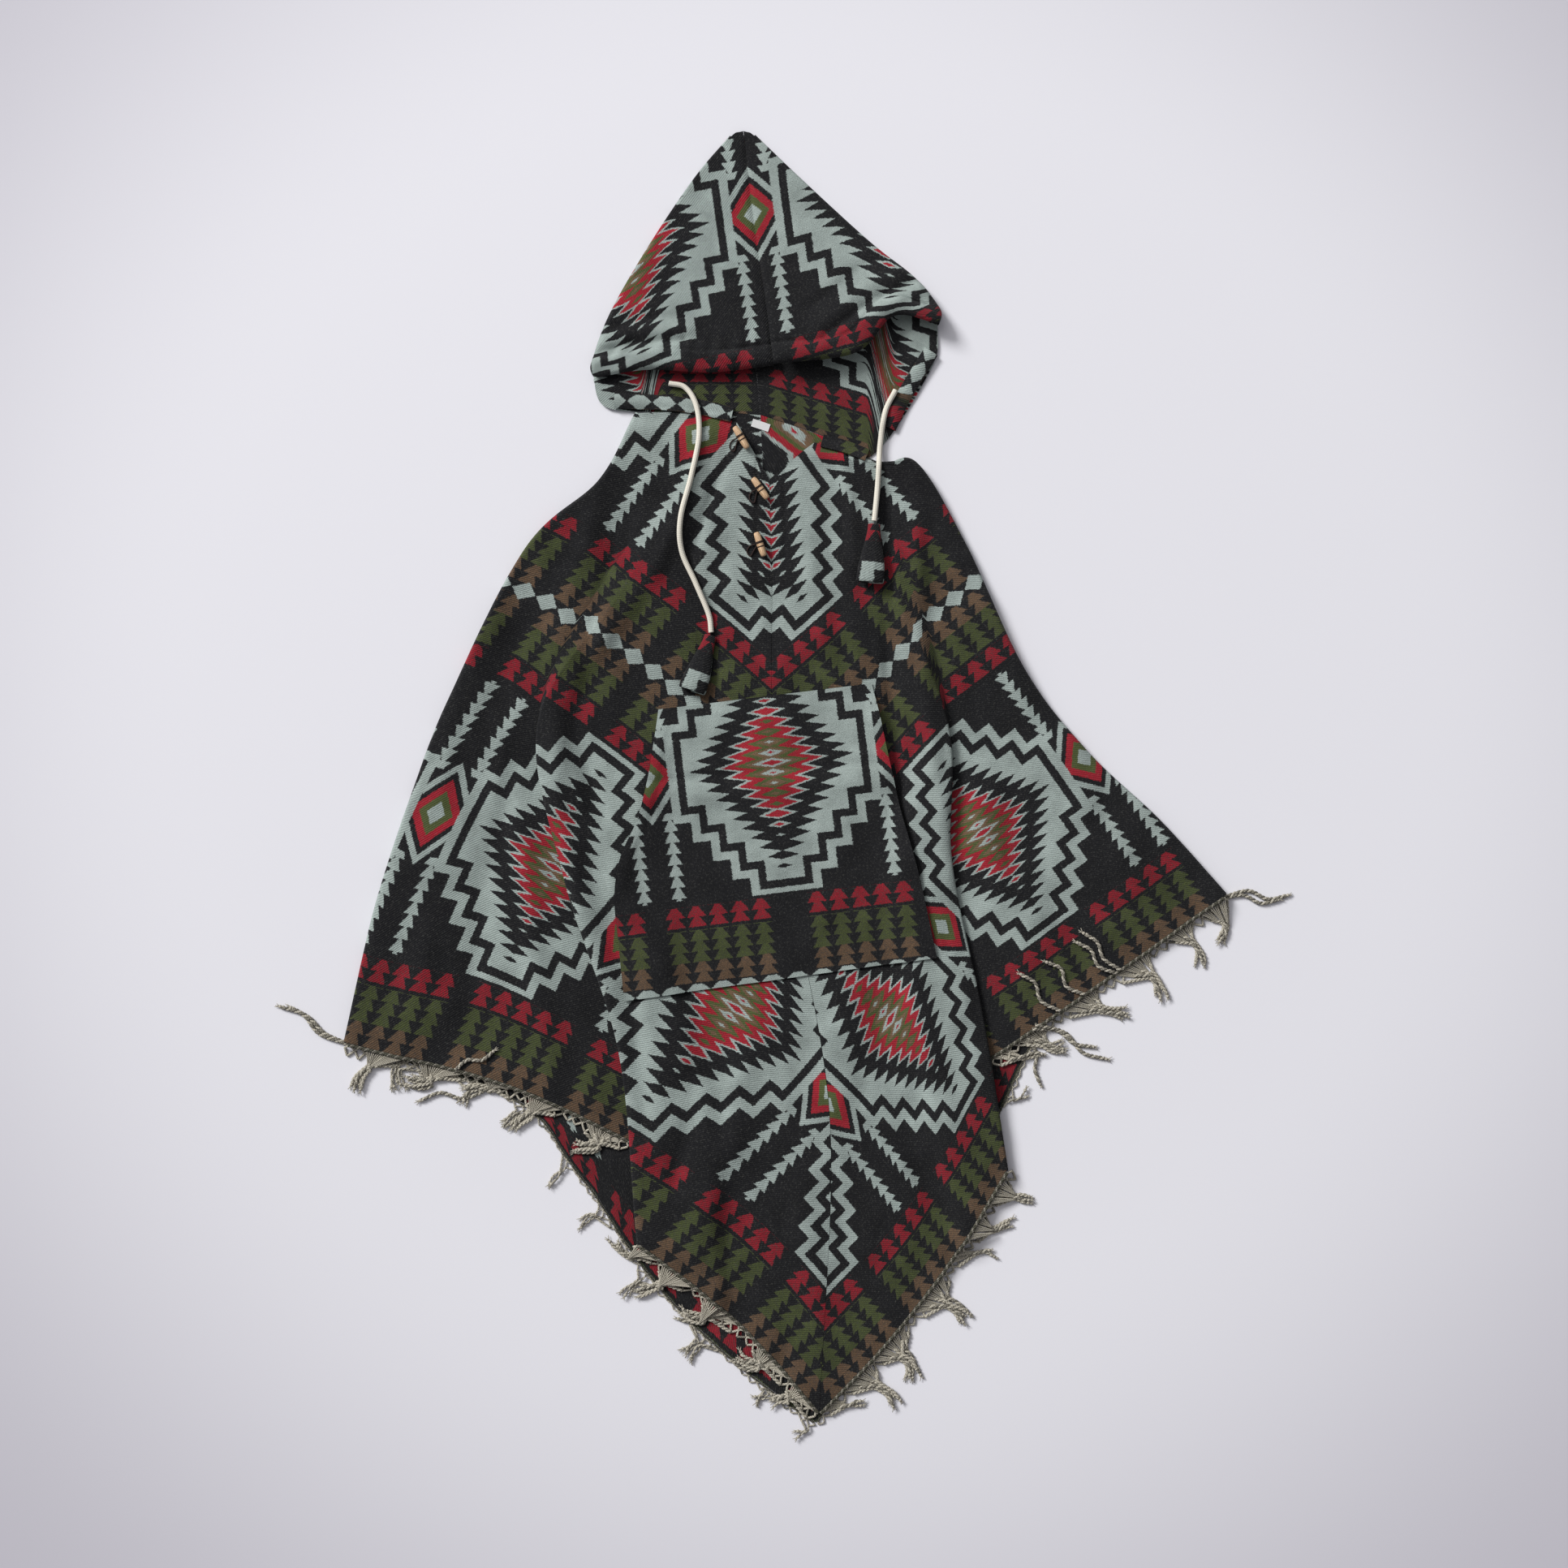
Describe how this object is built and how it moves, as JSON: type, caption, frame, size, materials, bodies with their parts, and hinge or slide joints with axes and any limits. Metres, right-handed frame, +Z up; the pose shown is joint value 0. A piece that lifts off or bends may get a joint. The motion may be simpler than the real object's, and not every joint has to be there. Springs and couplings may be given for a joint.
{
  "type": "hooded poncho",
  "caption": "Pull-over blanket poncho with a pointed hood, front pocket, toggle slit, drawstrings and fringed hems, laid flat face up.",
  "frame": {"origin": "on the table under the middle of the garment's bounding box", "axes": "+Y towards the hood's tip, +X towards the wing on the right of the picture, +Z up from the table"},
  "size_m": [1.1806, 1.5183, 0.0238],
  "materials": {
    "blanket_cloth": "brushed woven blanket cloth with a woven pattern",
    "tassel_cloth": "rolled blanket cloth",
    "fringe_yarn": "twisted matte yarn, pale and black",
    "drawstring": "soft braided cotton",
    "toggle_wood": "satin light wood",
    "label_tape": "smooth woven tape"
  },
  "bodies": {
    "root": {"half_left": "blanket_cloth", "half_right": "blanket_cloth", "hood_left": "blanket_cloth", "hood_right": "blanket_cloth", "pocket": "blanket_cloth", "casing_left": "blanket_cloth", "casing_right": "blanket_cloth", "neck_band": "blanket_cloth", "toggle_1": "toggle_wood", "toggle_2": "toggle_wood", "toggle_3": "toggle_wood", "cord_left": "drawstring", "cord_right": "drawstring", "tassel_left": "tassel_cloth", "tassel_right": "tassel_cloth", "neck_label": "label_tape", "fringe_front_left": "fringe_yarn", "fringe_front_right": "fringe_yarn", "fringe_wing_left": "fringe_yarn", "fringe_wing_right": "fringe_yarn", "fringe_back_left": "fringe_yarn", "fringe_back_right": "fringe_yarn"}
  },
  "joints": []
}
